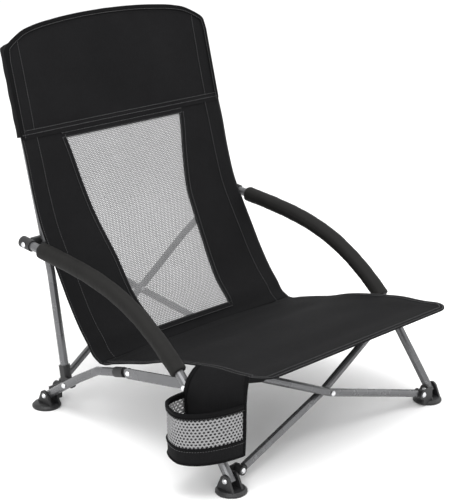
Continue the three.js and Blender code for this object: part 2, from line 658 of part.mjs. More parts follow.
// Cup holder on the sitter's right: a hanging panel and a bowed pocket.
const cupBacking = () => {
  const top = place(0, 0.2545).z;
  const line = [
    [-SLING_HALF - 2, top], [-SLING_HALF - 20, top - 13], [-CUP_BACK_X, top - 28],
    [-CUP_BACK_X, CUP_LOW_Z],
  ];
  const shape = new THREE.Shape();
  shape.moveTo(line[0][0], line[0][1]);
  line.slice(1).forEach(([x, z]) => shape.lineTo(x, z));
  [...line].reverse().forEach(([x, z]) => shape.lineTo(x - MESH_T, z - 1));
  const options = { depth: CUP_BACK_Y - CUP_FRONT_Y, bevelEnabled: false };
  const panel = new THREE.ExtrudeGeometry(shape, options);
  panel.rotateX(Math.PI / 2);
  panel.translate(0, CUP_BACK_Y, 0);
  return panel;
};
const bow = (inset) => {
  const points = [];
  const middle = (CUP_FRONT_Y + CUP_BACK_Y) / 2;
  const half = (CUP_BACK_Y - CUP_FRONT_Y) / 2 - 6 - inset;
  const face = CUP_BACK_X + MESH_T + GAP;
  for (let i = 0; i <= 12; i += 1) {
    const a = (i / 12) * Math.PI;
    const reach = CUP_DEPTH - MESH_T - inset;
    points.push([-face - reach * Math.sin(a) ** 0.8, middle - half * Math.cos(a)]);
  }
  return points;
};
const bowedWall = (thickness, from, to, inset = 0) => {
  const shape = new THREE.Shape();
  const outer = bow(inset);
  const inner = bow(inset + thickness).reverse();
  outer.forEach(([x, y], i) => (i ? shape.lineTo(x, y) : shape.moveTo(x, y)));
  inner.forEach(([x, y]) => shape.lineTo(x, y));
  const wall = new THREE.ExtrudeGeometry(shape, { depth: to - from, bevelEnabled: false });
  wall.translate(0, 0, from);
  return wall;
};
const cupBase = () => {
  const shape = new THREE.Shape();
  bow(0.8).forEach(([x, y], i) => (i ? shape.lineTo(x, y) : shape.moveTo(x, y)));
  const floor = new THREE.ExtrudeGeometry(shape, { depth: 2, bevelEnabled: false });
  floor.translate(0, 0, CUP_LOW_Z);
  return toGeometry(join(bowedWall(2, CUP_LOW_Z, CUP_BAND_Z), floor));
};

const frontEar = (s) => {
  const face = FRONT_LOW_Y + frontPlane(s) + (s < 0 ? 1 : -1) * (FRONT_CROSS_D / 2 + PIVOT_GAP);
  const far = face + (s < 0 ? EAR_T : -EAR_T);
  return { x: FRONT_CROSS_X, y0: Math.min(face, far), y1: Math.max(face, far), z: FRONT_CROSS_LOW_Z };
};
const rearEar = (s) => {
  const face = REAR_PAIR_Y + rearPlane(s) - REAR_CROSS_D / 2 - PIVOT_GAP;
  return { x: REAR_CROSS_X, y0: face - EAR_T, y1: face, z: REAR_CROSS_LOW_Z };
};

for (const [side, s] of [['right', -1], ['left', 1]]) {
  const fEar = frontEar(s);
  const rEar = rearEar(s);
  const frontFoot = foot(s, FRONT_FOOT_X, 0, FRONT_PIVOT, LEG_X, LEG_D, fEar);
  const rearFoot = foot(s, REAR_FOOT_X, FOOT_SPREAD + 4, REAR_PIVOT, RAIL_X, RAIL_D, rEar);
  add(`front_foot_${side}`, frontFoot, plastic());
  add(`rear_foot_${side}`, rearFoot, plastic());
  const legGrow = LEG_D / 2 + PIVOT_GAP + CHEEK_T + GAP;
  const railGrow = RAIL_D / 2 + PIVOT_GAP + CHEEK_T + GAP;
  add(`leg_foot_rivet_${side}`, rivetX(s * (LEG_X - legGrow), s * (LEG_X + legGrow), FRONT_PIVOT), zinc());
  add(`rail_foot_rivet_${side}`, rivetX(s * (RAIL_X - railGrow), s * (RAIL_X + railGrow), REAR_PIVOT), zinc());

  add(`leg_tube_${side}`, legTube(s), steel());
  add(`arm_grip_${side}`, grip(s), foam());
  add(`arm_end_plug_${side}`, armPlug(s), plastic());
  add(`arm_rivet_${side}`, headX(s, s * (LEG_X + CAP_R + GAP), ARM_PIVOT), zinc());

  add(`rear_rail_${side}`, rail(s), steel());
  add(`rail_end_sleeve_${side}`, railSleeve(s), plastic());
  add(`link_bar_${side}`, linkBar(s), steel());
  const tongue = BAR_IN - GAP - BAR_T;
  add(`link_rear_rivet_${side}`, rivetX(s * (tongue - GAP), s * (BAR_OUT + GAP), LINK_REAR), zinc());
  const legFace = LEG_X + LEG_D / 2 + GAP;
  add(`link_front_rivet_${side}`, rivetX(s * (BAR_IN - GAP), s * legFace, LINK_FRONT), zinc());

  add(`upright_${side}`, upright(s), steel());
  add(`upright_shoe_${side}`, shoe(s), plastic());
  const shoeIn = RAIL_X - RAIL_D / 2 - PIVOT_GAP - CHEEK_T - 2 - GAP;
  add(`shoe_rivet_${side}`, rivetX(s * shoeIn, s * (RAIL_X + RAIL_D / 2 + GAP), SHOE_PIVOT), zinc());
  add(`slider_${side}`, slider(s, rearPlane(-s)), plastic());

  const [fa, fb] = frontPoints(s);
  const fBore = FRONT_CROSS_D / 2 - WALL - GAP;
  add(`front_cross_tube_${side}`, frontCross(s), steel());
  add(`front_cross_end_${side}`, eyeEnd(fa.x, fa.y, fa.z, fb, FRONT_CROSS_D / 2, fBore, 22), plastic());
  const fLow = Math.min(fEar.y0, fa.y - FRONT_CROSS_D / 2);
  const fHigh = Math.max(fEar.y1, fa.y + FRONT_CROSS_D / 2);
  add(`front_cross_rivet_${side}`, rivetY(fa.x, fa.z, fLow - GAP, fHigh + GAP), zinc());

  const [ra, rb, rc] = rearPoints(s);
  const rBore = REAR_CROSS_D / 2 - WALL - GAP;
  const lowEnd = eyeEnd(ra.x, ra.y, ra.z, rb, REAR_CROSS_D / 2, rBore, 20);
  const topEnd = eyeEnd(rc.x, rc.y, rc.z, rearShoulder(s), REAR_CROSS_D / 2, rBore, 20);
  add(`rear_cross_tube_${side}`, rearCross(s), steel());
  add(`rear_cross_low_end_${side}`, lowEnd, plastic());
  add(`rear_cross_top_end_${side}`, topEnd, plastic());
  add(`rear_cross_rivet_${side}`, rivetY(ra.x, ra.z, rEar.y0 - GAP, ra.y + REAR_CROSS_D / 2 + GAP), zinc());
}

const frontReach = FRONT_CROSS_D / 2 + FRONT_PAIR_STEP + 1; // the tubes lean back here
const rearReach = REAR_CROSS_D / 2 + REAR_PAIR_STEP + GAP;
const centreHead = (y, z) => {
  const profile = [
    new THREE.Vector2(0, 0),
    new THREE.Vector2(SHANK_R, 0),
    new THREE.Vector2(SHANK_R, FRONT_CROSS_D),
    new THREE.Vector2(HEAD_R, FRONT_CROSS_D),
    new THREE.Vector2(HEAD_R * 0.7, FRONT_CROSS_D + HEAD_T * 0.8),
    new THREE.Vector2(0, FRONT_CROSS_D + HEAD_T),
  ];
  const geometry = new THREE.LatheGeometry(profile, 12);
  geometry.rotateX(Math.PI);
  geometry.translate(0, y, z);
  return geometry;
};
add('front_centre_rivet', centreHead(FRONT_PIN_Y - frontReach + FRONT_CROSS_D, FRONT_CROSS_PIN_Z), zinc());
const rearPinZ = (REAR_CROSS_LOW_Z + REAR_CROSS_TOP_Z) / 2;
add('rear_centre_rivet', rivetY(0, rearPinZ, REAR_PAIR_Y - rearReach, REAR_PAIR_Y + rearReach), zinc());

add('seat_panel', seatPanel(), cloth());
add('back_panel', backPanel(), cloth());
add('mesh_panel', meshPanel(), netting());
add('head_panel', headPanel(), cloth());
add('cup_backing', cupBacking(), cloth());
add('cup_rim', bowedWall(2, CUP_RIM_LOW_Z, CUP_RIM_TOP_Z), cloth());
add('cup_mesh_wall', bowedWall(MESH_T, CUP_BAND_Z + GAP, CUP_RIM_LOW_Z - GAP, 0.2), netting());
add('cup_base', cupBase(), cloth());

export default chair;
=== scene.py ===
import math

import bmesh
import bpy
import numpy as np
from mathutils import Matrix, Vector, noise


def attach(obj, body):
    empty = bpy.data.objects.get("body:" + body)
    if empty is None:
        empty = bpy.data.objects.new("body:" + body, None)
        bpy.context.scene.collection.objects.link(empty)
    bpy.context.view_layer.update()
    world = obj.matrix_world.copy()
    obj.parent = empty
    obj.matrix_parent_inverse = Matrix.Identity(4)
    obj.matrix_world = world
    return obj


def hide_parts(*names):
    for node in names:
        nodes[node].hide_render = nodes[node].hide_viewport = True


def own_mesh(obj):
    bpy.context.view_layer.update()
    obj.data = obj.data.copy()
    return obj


# The viewpoint: a long lens, a little above the seat, from the sitter's front right.
camera = bpy.data.objects.new("camera", bpy.data.cameras.new("camera"))
bpy.context.scene.collection.objects.link(camera)
camera.data.lens = 107.5
camera.data.sensor_width = 36
camera.location = (-1.788, -1.7245, 1.081)
heading, tilt = math.radians(45.57), math.radians(17.63)
ahead = Vector((
    math.sin(heading) * math.cos(tilt),
    math.cos(heading) * math.cos(tilt),
    -math.sin(tilt),
))
camera.rotation_euler = ahead.to_track_quat("-Z", "Y").to_euler()
camera.data.clip_end = 50
bpy.context.scene.camera = camera

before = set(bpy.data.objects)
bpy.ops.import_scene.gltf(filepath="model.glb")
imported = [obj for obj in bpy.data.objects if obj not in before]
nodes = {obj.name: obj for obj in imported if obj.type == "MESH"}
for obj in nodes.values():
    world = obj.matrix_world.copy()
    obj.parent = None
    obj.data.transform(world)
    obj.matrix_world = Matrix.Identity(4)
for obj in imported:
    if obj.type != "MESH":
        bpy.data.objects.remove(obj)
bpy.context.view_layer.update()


# Steel tubes and flat links: drawn steel with a satin silver-grey coat, a little cloudy,
# with a fine grain and small rubbed places. Sums on a finish's sockets are written as
# Python expressions on Wire.
SIDES = (("right", -1), ("left", 1))


class Wire:
    def __init__(self, finish, socket):
        self.finish, self.socket = finish, socket

    def maths(self, operation, *others):
        values = (self, *others)
        return self.finish.node("ShaderNodeMath", {"operation": operation}, dict(enumerate(values)))

    def __add__(self, other):
        return self.maths("ADD", other)

    __radd__ = __add__

    def __mul__(self, other):
        return self.maths("MULTIPLY", other)

    __rmul__ = __mul__

    def __sub__(self, other):
        return self.maths("SUBTRACT", other)

    def __rsub__(self, other):
        return (self * -1) + other

    def __pow__(self, other):
        return self.maths("POWER", other)

    def clear(self):
        return self.maths("MAXIMUM", 0).maths("MINIMUM", 1)

    def ramp(self, low, high):
        return ((self - low) * (1 / (high - low))).clear()


class Finish:
    def __init__(self, name, **fixed):
        self.material = bpy.data.materials.new(name)
        self.material.use_nodes = True
        self.tree = self.material.node_tree
        self.shader = self.tree.nodes["Principled BSDF"]
        for socket, value in fixed.items():
            self.shader.inputs[socket.replace("_", " ")].default_value = value

    def put(self, socket, value):
        if isinstance(value, Wire):
            self.tree.links.new(value.socket, socket)
        else:
            socket.default_value = value

    def node(self, kind, settings=None, inputs=None, out=0):
        made = self.tree.nodes.new(kind)
        for name, value in (settings or {}).items():
            setattr(made, name, value)
        for name, value in (inputs or {}).items():
            self.put(made.inputs[name], value)
        return Wire(self, made.outputs[out])

    def place(self, source="Object"):
        return self.node("ShaderNodeTexCoord", out=source)

    def axis(self, vector, name):
        return self.node("ShaderNodeSeparateXYZ", {}, {0: vector}, name)

    def grain(self, vector, scale, detail=2, roughness=0.5, stretch=None):
        if stretch:
            vector = self.node("ShaderNodeMapping", {}, {"Vector": vector, "Scale": stretch})
        values = {"Vector": vector, "Scale": scale, "Detail": detail, "Roughness": roughness}
        return self.node("ShaderNodeTexNoise", {}, values, "Fac")

    def mix(self, share, first, second):
        settings = {"data_type": "RGBA"}
        return self.node("ShaderNodeMix", settings, {0: share, 6: first, 7: second}, 2)

    def bump(self, height, depth, strength=1.0):
        values = {"Height": height, "Distance": depth, "Strength": strength}
        self.put(self.shader.inputs["Normal"], self.node("ShaderNodeBump", {}, values))

    def give(self, **sockets):
        for name, value in sockets.items():
            self.put(self.shader.inputs[name.replace("_", " ")], value)


def wear(obj, finish, sharp=35, bevel=0.0):
    """Gives a piece its finish, soft edges and smooth shading."""
    obj.data.materials.clear()
    obj.data.materials.append(finish.material)
    obj.data.shade_smooth()
    obj.data.set_sharp_from_angle(angle=math.radians(sharp))
    if bevel:
        edge = obj.modifiers.new("soft edge", "BEVEL")
        edge.width = bevel
        edge.segments = 2
        edge.limit_method = "ANGLE"
        edge.angle_limit = math.radians(40)
        edge.harden_normals = True


def tube_finish():
    coat = Finish("satin coated tube", Metallic=0.6, Specular_IOR_Level=0.6)
    where = coat.place()
    cloud = coat.grain(where, 22, 3)
    fine = coat.grain(where, 900, 2)
    scuff = coat.grain(where, 70, 5, 0.7).ramp(0.62, 0.7)
    tone = coat.mix(cloud, (0.095, 0.096, 0.1, 1), (0.15, 0.151, 0.156, 1))
    tone = coat.mix(scuff * 0.12, tone, (0.5, 0.5, 0.51, 1))
    coat.give(Base_Color=tone, Roughness=0.22 + cloud * 0.1 + scuff * 0.05)
    coat.bump(fine + cloud * 0.6, 0.00004, 0.5)
    return coat


satin = tube_finish()
TUBES = ("leg_tube", "rear_rail", "upright", "front_cross_tube", "rear_cross_tube")
for side, _ in SIDES:
    for name in TUBES:
        wear(nodes[f"{name}_{side}"], satin, 40)
    wear(nodes[f"link_bar_{side}"], satin, 40, 0.0005)


# Rivets: zinc-plated steel, domed and a little dull in patches. They pin the tubes,
# links, shoes and feet together.
def zinc_finish():
    zinc = Finish("zinc rivet", Metallic=1.0)
    where = zinc.place()
    patch = zinc.grain(where, 260, 4, 0.6)
    zinc.give(
        Base_Color=zinc.mix(patch, (0.55, 0.56, 0.58, 1), (0.78, 0.78, 0.79, 1)),
        Roughness=0.24 + patch * 0.2,
    )
    zinc.bump(patch, 0.00008, 0.6)
    return zinc


zinc = zinc_finish()
for name, node in nodes.items():
    if "rivet" in name:
        wear(node, zinc, 50, 0.0004)


# Moulded black plastic: feet, shoes, sliding brackets, sleeves and eye ends.
# The mould leaves a fine matt grain, a faint flow mark and paler rubbed edges.
def plastic_finish():
    black = Finish("moulded black plastic", Specular_IOR_Level=0.45)
    where = black.place()
    fine = black.grain(where, 1400, 2)
    flow = black.grain(where, 30, 4)
    rub = black.grain(where, 120, 5, 0.7).ramp(0.6, 0.72)
    tone = black.mix(flow, (0.006, 0.006, 0.0065, 1), (0.015, 0.015, 0.016, 1))
    tone = black.mix(rub * 0.5, tone, (0.035, 0.035, 0.037, 1))
    black.give(Base_Color=tone, Roughness=0.42 + flow * 0.15)
    black.bump(fine + flow * 0.5, 0.00006, 0.7)
    return black


plastic = plastic_finish()
MOULDINGS = (
    "front_foot", "rear_foot", "upright_shoe", "slider", "rail_end_sleeve",
    "arm_end_plug", "front_cross_end", "rear_cross_low_end", "rear_cross_top_end",
)
for side, _ in SIDES:
    for name in MOULDINGS:
        wear(nodes[f"{name}_{side}"], plastic, 35, 0.0008)


# Arm grips: closed-cell foam sleeves pushed over the arm tubes. The skin is matt and
# finely pored, with slight lumps and creases.
def foam_finish():
    foam = Finish("closed cell foam", Specular_IOR_Level=0.2)
    where = foam.place()
    pore = foam.grain(where, 1100, 3, 0.7)
    soft = foam.grain(where, 45, 4)
    tone = foam.mix(soft, (0.004, 0.0038, 0.0036, 1), (0.01, 0.0096, 0.009, 1))
    foam.give(Base_Color=tone, Roughness=0.62 + soft * 0.15)
    foam.bump(pore + soft * 0.8, 0.00012, 0.8)
    return foam


foam = foam_finish()


def settle(obj):
    """Applies a piece's modifiers, so that its mesh is final."""
    graph = bpy.context.evaluated_depsgraph_get()
    done = bpy.data.meshes.new_from_object(obj.evaluated_get(graph))
    obj.modifiers.clear()
    obj.data = done


def new_piece(name, mesh):
    obj = bpy.data.objects.new(name, mesh)
    bpy.context.scene.collection.objects.link(obj)
    return obj


for side, s in SIDES:
    grip = new_piece(f"foam_grip_{side}", nodes[f"arm_grip_{side}"].data.copy())
    skin = grip.modifiers.new("one skin", "REMESH")
    skin.mode = "VOXEL"
    skin.voxel_size = 0.0021
    soften = grip.modifiers.new("softened", "SMOOTH")
    soften.factor = 0.6
    soften.iterations = 9
    settle(grip)
    bm = bmesh.new()
    bm.from_mesh(grip.data)
    for vert in bm.verts:
        soft = noise.noise(vert.co * 38) * 0.0006
        crease = noise.noise(Vector((vert.co.y * 210, vert.co.z * 60, s * 3.0))) * 0.00035
        vert.co += vert.normal * (soft + crease)
    bm.to_mesh(grip.data)
    bm.free()
    wear(grip, foam, 70)
    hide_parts(f"arm_grip_{side}")
    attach(grip, f"arm_leg_{side}")


# The sling's line in the side view, shared by seat and back: metres back from the middle
# of the feet, and height. It is smoothed into one curve measured along the cloth.
def smooth_line(points, count=400):
    p = np.array(points, float)
    chord = np.concatenate([[0], np.cumsum(np.hypot(*np.diff(p, axis=0).T))])
    t = np.linspace(0, chord[-1], count)
    slope = np.gradient(p, chord, axis=0)
    k = np.clip(np.searchsorted(chord, t, side="right") - 1, 0, len(p) - 2)
    h = (chord[k + 1] - chord[k])[:, None]
    u = ((t - chord[k])[:, None]) / h
    curve = (
        (2 * u**3 - 3 * u**2 + 1) * p[k] + (u**3 - 2 * u**2 + u) * h * slope[k]
        + (-2 * u**3 + 3 * u**2) * p[k + 1] + (u**3 - u**2) * h * slope[k + 1]
    )
    run = np.concatenate([[0], np.cumsum(np.hypot(*np.diff(curve, axis=0).T))])
    return curve, run


def on_line(line, distance):
    curve, run = line
    y = np.interp(distance, run, curve[:, 0])
    z = np.interp(distance, run, curve[:, 1])
    step = 0.002
    y2 = np.interp(distance + step, run, curve[:, 0])
    z2 = np.interp(distance + step, run, curve[:, 1])
    y1 = np.interp(distance - step, run, curve[:, 0])
    z1 = np.interp(distance - step, run, curve[:, 1])
    along = Vector((0, y2 - y1, z2 - z1)).normalized()
    return Vector((0, y, z)), Vector((0, -along.z, along.y))


MID = 0.2345  # half the distance between front and rear feet
SLING_HALF = 0.241
CREASE = (0.328 - MID, 0.121)


# Woven polyester: dark plain weave with a slight sheen. Threads a millimetre apart show as
# fine relief, and the cloth varies a little in tone with handling.
def cloth_finish(name, dark, light, pitch=0.0011):
    cloth = Finish(name, Specular_IOR_Level=0.07, Sheen_Weight=0.008, Sheen_Roughness=0.5)
    where = cloth.place("UV")
    across = cloth.axis(where, "X") * (math.pi / pitch)
    along = cloth.axis(where, "Y") * (math.pi / pitch)
    warp = across.maths("SINE").maths("ABSOLUTE")
    weft = along.maths("SINE").maths("ABSOLUTE")
    over = ((across.maths("SINE") * along.maths("SINE")) * 3 + 0.5).clear()
    relief = warp * over + weft * (1 - over)
    slub = cloth.grain(where, 700, 2, stretch=(1, 0.12, 1))
    cloud = cloth.grain(where, 9, 5, 0.65)
    fuzz = cloth.grain(where, 420, 3, 0.8)
    share = relief * 0.35 + slub * 0.25 + cloud * 0.25 + fuzz * 0.35
    cloth.give(
        Base_Color=cloth.mix(share.ramp(0.32, 0.86), dark, light),
        Roughness=0.72 + fuzz * 0.2,
    )
    cloth.bump(relief * 0.6 + slub * 0.3 + fuzz * 0.3, 0.00018, 0.7)
    return cloth


NEAR_BLACK = (0.0004, 0.0004, 0.00045, 1)
weave = cloth_finish("dark polyester weave", NEAR_BLACK, (0.0095, 0.0095, 0.0102, 1))
tape = cloth_finish("black binding tape", NEAR_BLACK, (0.005, 0.005, 0.0055, 1), 0.0018)


def cloth_piece(name, columns, rows, spot, thickness=0.0016, finish=weave, window=None):
    """A sheet of cloth. spot(u, v) gives a grid point's place and its place on the cut."""
    mesh = bpy.data.meshes.new(name)
    bm = bmesh.new()
    bmesh.ops.create_grid(bm, x_segments=columns, y_segments=rows, size=1)
    cut = bm.loops.layers.uv.new("cut")
    if window:
        gone = [f for f in bm.faces if window(*f.calc_center_median().xy)]
        bmesh.ops.delete(bm, geom=gone, context="FACES")
    flat = {}
    for vert in bm.verts:
        vert.co, flat[vert] = spot(vert.co.x, vert.co.y)
    for face in bm.faces:
        for loop in face.loops:
            loop[cut].uv = flat[loop.vert]
    bmesh.ops.recalc_face_normals(bm, faces=bm.faces)
    bm.to_mesh(mesh)
    bm.free()
    obj = new_piece(name, mesh)
    body = obj.modifiers.new("cloth thickness", "SOLIDIFY")
    body.thickness = thickness
    body.offset = 0
    wear(obj, finish, 60)
    return obj


# Stitching: a raised run of short thread lengths along a seam, in dark thread.
def thread_finish():
    thread = Finish("sewing thread", Roughness=0.6, Sheen_Weight=0.3)
    twist = thread.grain(thread.place(), 1800, 2)
    thread.give(Base_Color=thread.mix(twist, (0.006, 0.006, 0.0065, 1), (0.035, 0.035, 0.037, 1)))
    thread.bump(twist, 0.0001, 0.8)
    return thread


cotton = thread_finish()


def stitch_run(bm, places, normals, pitch=0.0042, length=0.003, width=0.0007):
    """Adds one stitch at each pitch along a line of places, lying on the cloth."""
    places = [Vector(p) for p in places]
    carried = 0.0
    for a, b, n in zip(places, places[1:], normals):
        step = b - a
        run = step.length
        if run < 1e-7:
            continue
        along = step.normalized()
        side = along.cross(n).normalized()
        while carried < run:
            middle = a + along * carried + n * width * 0.35
            made = bmesh.ops.create_cube(bm, size=1)["verts"]
            turn = Matrix((along, side, n)).transposed().to_4x4()
            size = Matrix.Diagonal((length, width, width * 0.8, 1))
            bmesh.ops.transform(bm, matrix=Matrix.Translation(middle) @ turn @ size, verts=made)
            for v in made:
                v.co += (middle - v.co) * (0.25 if (v.co - middle).dot(n) > 0 else 0.0)
            carried += pitch
        carried -= run


def stitches(name, runs, body, **size):
    mesh = bpy.data.meshes.new(name)
    bm = bmesh.new()
    for places, normals in runs:
        stitch_run(bm, places, normals, **size)
    bm.to_mesh(mesh)
    bm.free()
    obj = new_piece(name, mesh)
    wear(obj, cotton, 30)
    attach(obj, body)
    fold_flat(obj)
    return obj


def fold_flat(obj):
    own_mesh(obj)


# Seat: one cut of polyester, hemmed on three sides, its front corners rounded. It hangs
# between the side tubes, so its middle dips a little and it pulls in shallow folds.
seat_line = smooth_line([
    CREASE, (0.0826, 0.1212), (0.0605, 0.1285), (0.0235, 0.1395), (-0.0125, 0.149),
    (-0.0625, 0.166), (-0.1445, 0.1835), (-0.1775, 0.189), (-0.2345, 0.193),
    (-0.2545, 0.1957), (-0.2815, 0.1972), (-0.2895, 0.197),
])
seat_long = seat_line[1][-1]
CORNER = 0.034


def seat_half(distance):
    left = seat_long - distance
    if left < CORNER:
        inset = CORNER - math.sqrt(max(0.0, CORNER**2 - (CORNER - left) ** 2))
        return SLING_HALF - inset
    return SLING_HALF - 0.003 * math.sin(math.pi * min(1, distance / (seat_long - CORNER)))


CROWDING = 1.35


def dense(u):
    """Closer columns near both side edges."""
    return math.copysign(1 - (1 - abs(u)) ** CROWDING, u)


def seat_spot(u, v):
    share = (dense(v) + 1) / 2
    distance = share * seat_long
    half = seat_half(distance)
    x = dense(u) * half
    at, out = on_line(seat_line, distance)
    edge = min(half - abs(x), (seat_long - distance))
    dip = -0.006 * (1 - (x / SLING_HALF) ** 2) * math.sin(math.pi * min(1, max(0, share)))
    near_crease = math.exp(-((distance / 0.035) ** 2)) * min(1, distance / 0.012)
    rise = 0.010 * (1 - (x / SLING_HALF) ** 4) * near_crease
    fold = noise.noise(Vector((x * 9, distance * 5, 0.3))) * 0.0022
    near_edge = math.exp(-((SLING_HALF - abs(x)) / 0.05))
    pull = 0.0012 * math.sin(60 * (abs(x) - 0.6 * distance)) * near_edge
    free = min(1, edge / 0.03)
    hem = 0.0009 * (1 - min(1, max(0, (edge - 0.012) / 0.002)))
    lift = (dip + fold + pull) * free + rise + hem
    return at + Vector((x, 0, 0)) + out * -lift, (x + 0.5, distance + 0.2)


seat = cloth_piece("seat_cloth", 120, 110, seat_spot)
settle(seat)
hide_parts("seat_panel")
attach(seat, "seat")
fold_flat(seat)


def seat_path(side_inset, front_inset):
    """A seam line parallel to the seat's side and front edges, from crease to crease."""
    places = []
    stations = [seat_long * k / 90 for k in range(2, 91)]
    for sign in (-1, 1):
        run = []
        for d in stations:
            d = min(d, seat_long - front_inset)
            half = seat_half(d) - side_inset
            if d >= seat_long - CORNER:
                half = seat_half(min(d + side_inset * 0.6, seat_long)) - side_inset * 0.4
            u = half / seat_half(d)
            run.append((sign * u, d))
        places.append(run)
    return places[0] + places[1][::-1]


def seat_place(u, d):
    """Where the seat's cloth lies at a share u of its half width, d along it, and its normal."""
    share = d / seat_long
    v = math.copysign(1 - (1 - abs(2 * share - 1)) ** (1 / CROWDING), 2 * share - 1)
    uu = math.copysign(1 - (1 - min(1, abs(u))) ** (1 / CROWDING), u)
    spot = seat_spot(uu, v)[0]
    right, left = min(1, uu + 0.01), max(-1, uu - 0.01)
    side = seat_spot(right, v)[0] - seat_spot(left, v)[0]
    along = seat_spot(uu, min(1, v + 0.01))[0] - seat_spot(uu, max(-1, v - 0.01))[0]
    n = side.cross(along).normalized()
    if n.z < 0:
        n = -n
    return spot + n * 0.0009, n


seat_seams = []
for side_inset, front_inset in ((0.0035, 0.0035), (0.0115, 0.0115)):
    found = [seat_place(u, d) for u, d in seat_path(side_inset, front_inset)]
    seat_seams.append(([p for p, n in found], [n for p, n in found]))
seat_thread = stitches("seat_stitching", seat_seams, "seat")


# Lower back: one cut of polyester from the crease to the head seam, with a tall window
# left open for the netting. Its sides are turned and sewn down over the side frame.
back_line = smooth_line([
    CREASE, (0.1115, 0.13), (0.1245, 0.147), (0.1405, 0.1655), (0.1685, 0.206),
    (0.1945, 0.251), (0.221, 0.297), (0.2395, 0.331), (0.259, 0.388), (0.275, 0.45),
    (0.2859, 0.4848),
])
back_long = back_line[1][-1]
WINDOW_Z = (0.136, 0.16, 0.2, 0.26, 0.33, 0.4, 0.474)
WINDOW_HALF = (0.0936, 0.0965, 0.1022, 0.107, 0.1166, 0.1295, 0.1427)
heights = np.interp(np.linspace(0, back_long, 500), back_line[1], back_line[0][:, 1])
window_low = float(np.interp(WINDOW_Z[0], heights, np.linspace(0, back_long, 500)))
window_top = float(np.interp(WINDOW_Z[-1], heights, np.linspace(0, back_long, 500)))


def window_half(distance):
    height = np.interp(distance, np.linspace(0, back_long, 500), heights)
    return float(np.interp(height, WINDOW_Z, WINDOW_HALF))


def back_at(x, distance, lift=0.0):
    """The back's cloth at x across and a distance up from the crease."""
    at, out = on_line(back_line, distance)
    share = distance / back_long
    belly = max(0.0, 1 - (x / SLING_HALF) ** 2)
    crease = 0.011 * math.exp(-(((distance - 0.03) / 0.045) ** 2)) * min(1, distance / 0.02)
    hollow = -0.011 * max(0.0, share - 0.45) / 0.55
    edge = SLING_HALF - abs(x)
    fold = noise.noise(Vector((x * 8, distance * 6, 4.1))) * 0.0024 * min(1, edge / 0.04)
    near_edge = math.exp(-edge / 0.05) * min(1, edge / 0.01)
    pull = 0.0009 * math.sin(75 * (abs(x) + 0.5 * distance)) * near_edge
    hem = 0.0008 * (1 - min(1, max(0.0, (edge - 0.035) / 0.0015)))
    fade = min(1, distance / 0.03) * min(1, (back_long - distance) / 0.03)
    proud = (crease + hollow) * belly + (fold + pull) * fade + hem + lift
    return at + Vector((x, 0, 0)) + out * proud


def between(value, low, high, first, last):
    return first + (last - first) * (value - low) / (high - low)


def back_spot(u, v):
    if v < -0.9:
        distance = between(v, -1, -0.9, 0, window_low)
    elif v < 0.9:
        distance = between(v, -0.9, 0.9, window_low, window_top)
    else:
        distance = between(v, 0.9, 1, window_top, back_long)
    open_half = window_half(distance)
    if abs(u) <= 0.5:
        x = u * 2 * open_half
    else:
        x = math.copysign(between(abs(u), 0.5, 1, open_half, SLING_HALF), u)
    return back_at(x, distance), (x + 0.5, distance + 0.2)


def in_window(u, v):
    return abs(u) < 0.5 and abs(v) < 0.9


back = cloth_piece("back_cloth", 96, 120, back_spot, window=in_window)
settle(back)
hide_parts("back_panel")
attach(back, "upright_right")
fold_flat(back)


def front_of(place, x, distance):
    """A place on the sitter's side of the back, and the way the cloth faces there."""
    step = 0.002
    low, high = max(0.0, distance - step), min(back_long, distance + step)
    along = place(x, high) - place(x, low)
    side = place(x + step, distance) - place(x - step, distance)
    n = side.cross(along).normalized()
    if n.y > 0:
        n = -n
    return place(x, distance), n


def line_on(place, spots, lift):
    found = [front_of(place, x, d) for x, d in spots]
    return [p + n * lift for p, n in found], [n for p, n in found]


UPWARDS = [back_long * k / 110 for k in range(0, 111)]
seams = []
for sign in (-1, 1):
    seams.append(line_on(back_at, [(sign * (SLING_HALF - 0.0345), d) for d in UPWARDS], 0.0011))
    seams.append(line_on(back_at, [(sign * (SLING_HALF - 0.003), d) for d in UPWARDS], 0.0011))
back_thread = stitches("back_stitching", seams, "upright_right")


# Window binding: a flat tape sewn round the opening, over the netting's raw edge.
def strip(name, centres, acrosses, normals, section, finish, thickness=0.0006):
    """A tape swept along a line. The section gives its points across and above the cloth."""
    rows = len(centres) - 1
    mesh = bpy.data.meshes.new(name)
    bm = bmesh.new()
    bmesh.ops.create_grid(bm, x_segments=len(section) - 1, y_segments=rows, size=1)
    cut = bm.loops.layers.uv.new("cut")
    run = [0.0]
    for a, b in zip(centres, centres[1:]):
        run.append(run[-1] + (b - a).length)
    spots = {}
    for vert in bm.verts:
        i = round((vert.co.x + 1) / 2 * (len(section) - 1))
        k = round((vert.co.y + 1) / 2 * rows)
        across, lift = section[i]
        vert.co = centres[k] + acrosses[k] * across + normals[k] * lift
        spots[vert] = (i * 0.004 + 0.5, run[k] + 0.2)
    for face in bm.faces:
        for loop in face.loops:
            loop[cut].uv = spots[loop.vert]
    bmesh.ops.recalc_face_normals(bm, faces=bm.faces)
    bm.to_mesh(mesh)
    bm.free()
    obj = new_piece(name, mesh)
    body = obj.modifiers.new("tape thickness", "SOLIDIFY")
    body.thickness = thickness
    body.offset = 0
    wear(obj, finish, 50)
    settle(obj)
    return obj


FLAT_TAPE = [
    (-0.0055, -0.0006), (-0.005, 0.0001), (0, 0.0003), (0.005, 0.0001), (0.0055, -0.0006),
]


def frame_line(spots, lift):
    """Centres, across directions and normals for a tape along spots on the back."""
    centres, normals = line_on(back_at, spots, lift)
    acrosses = []
    for k, n in enumerate(normals):
        a, b = centres[max(0, k - 1)], centres[min(len(centres) - 1, k + 1)]
        acrosses.append((b - a).normalized().cross(n).normalized())
    return centres, acrosses, normals


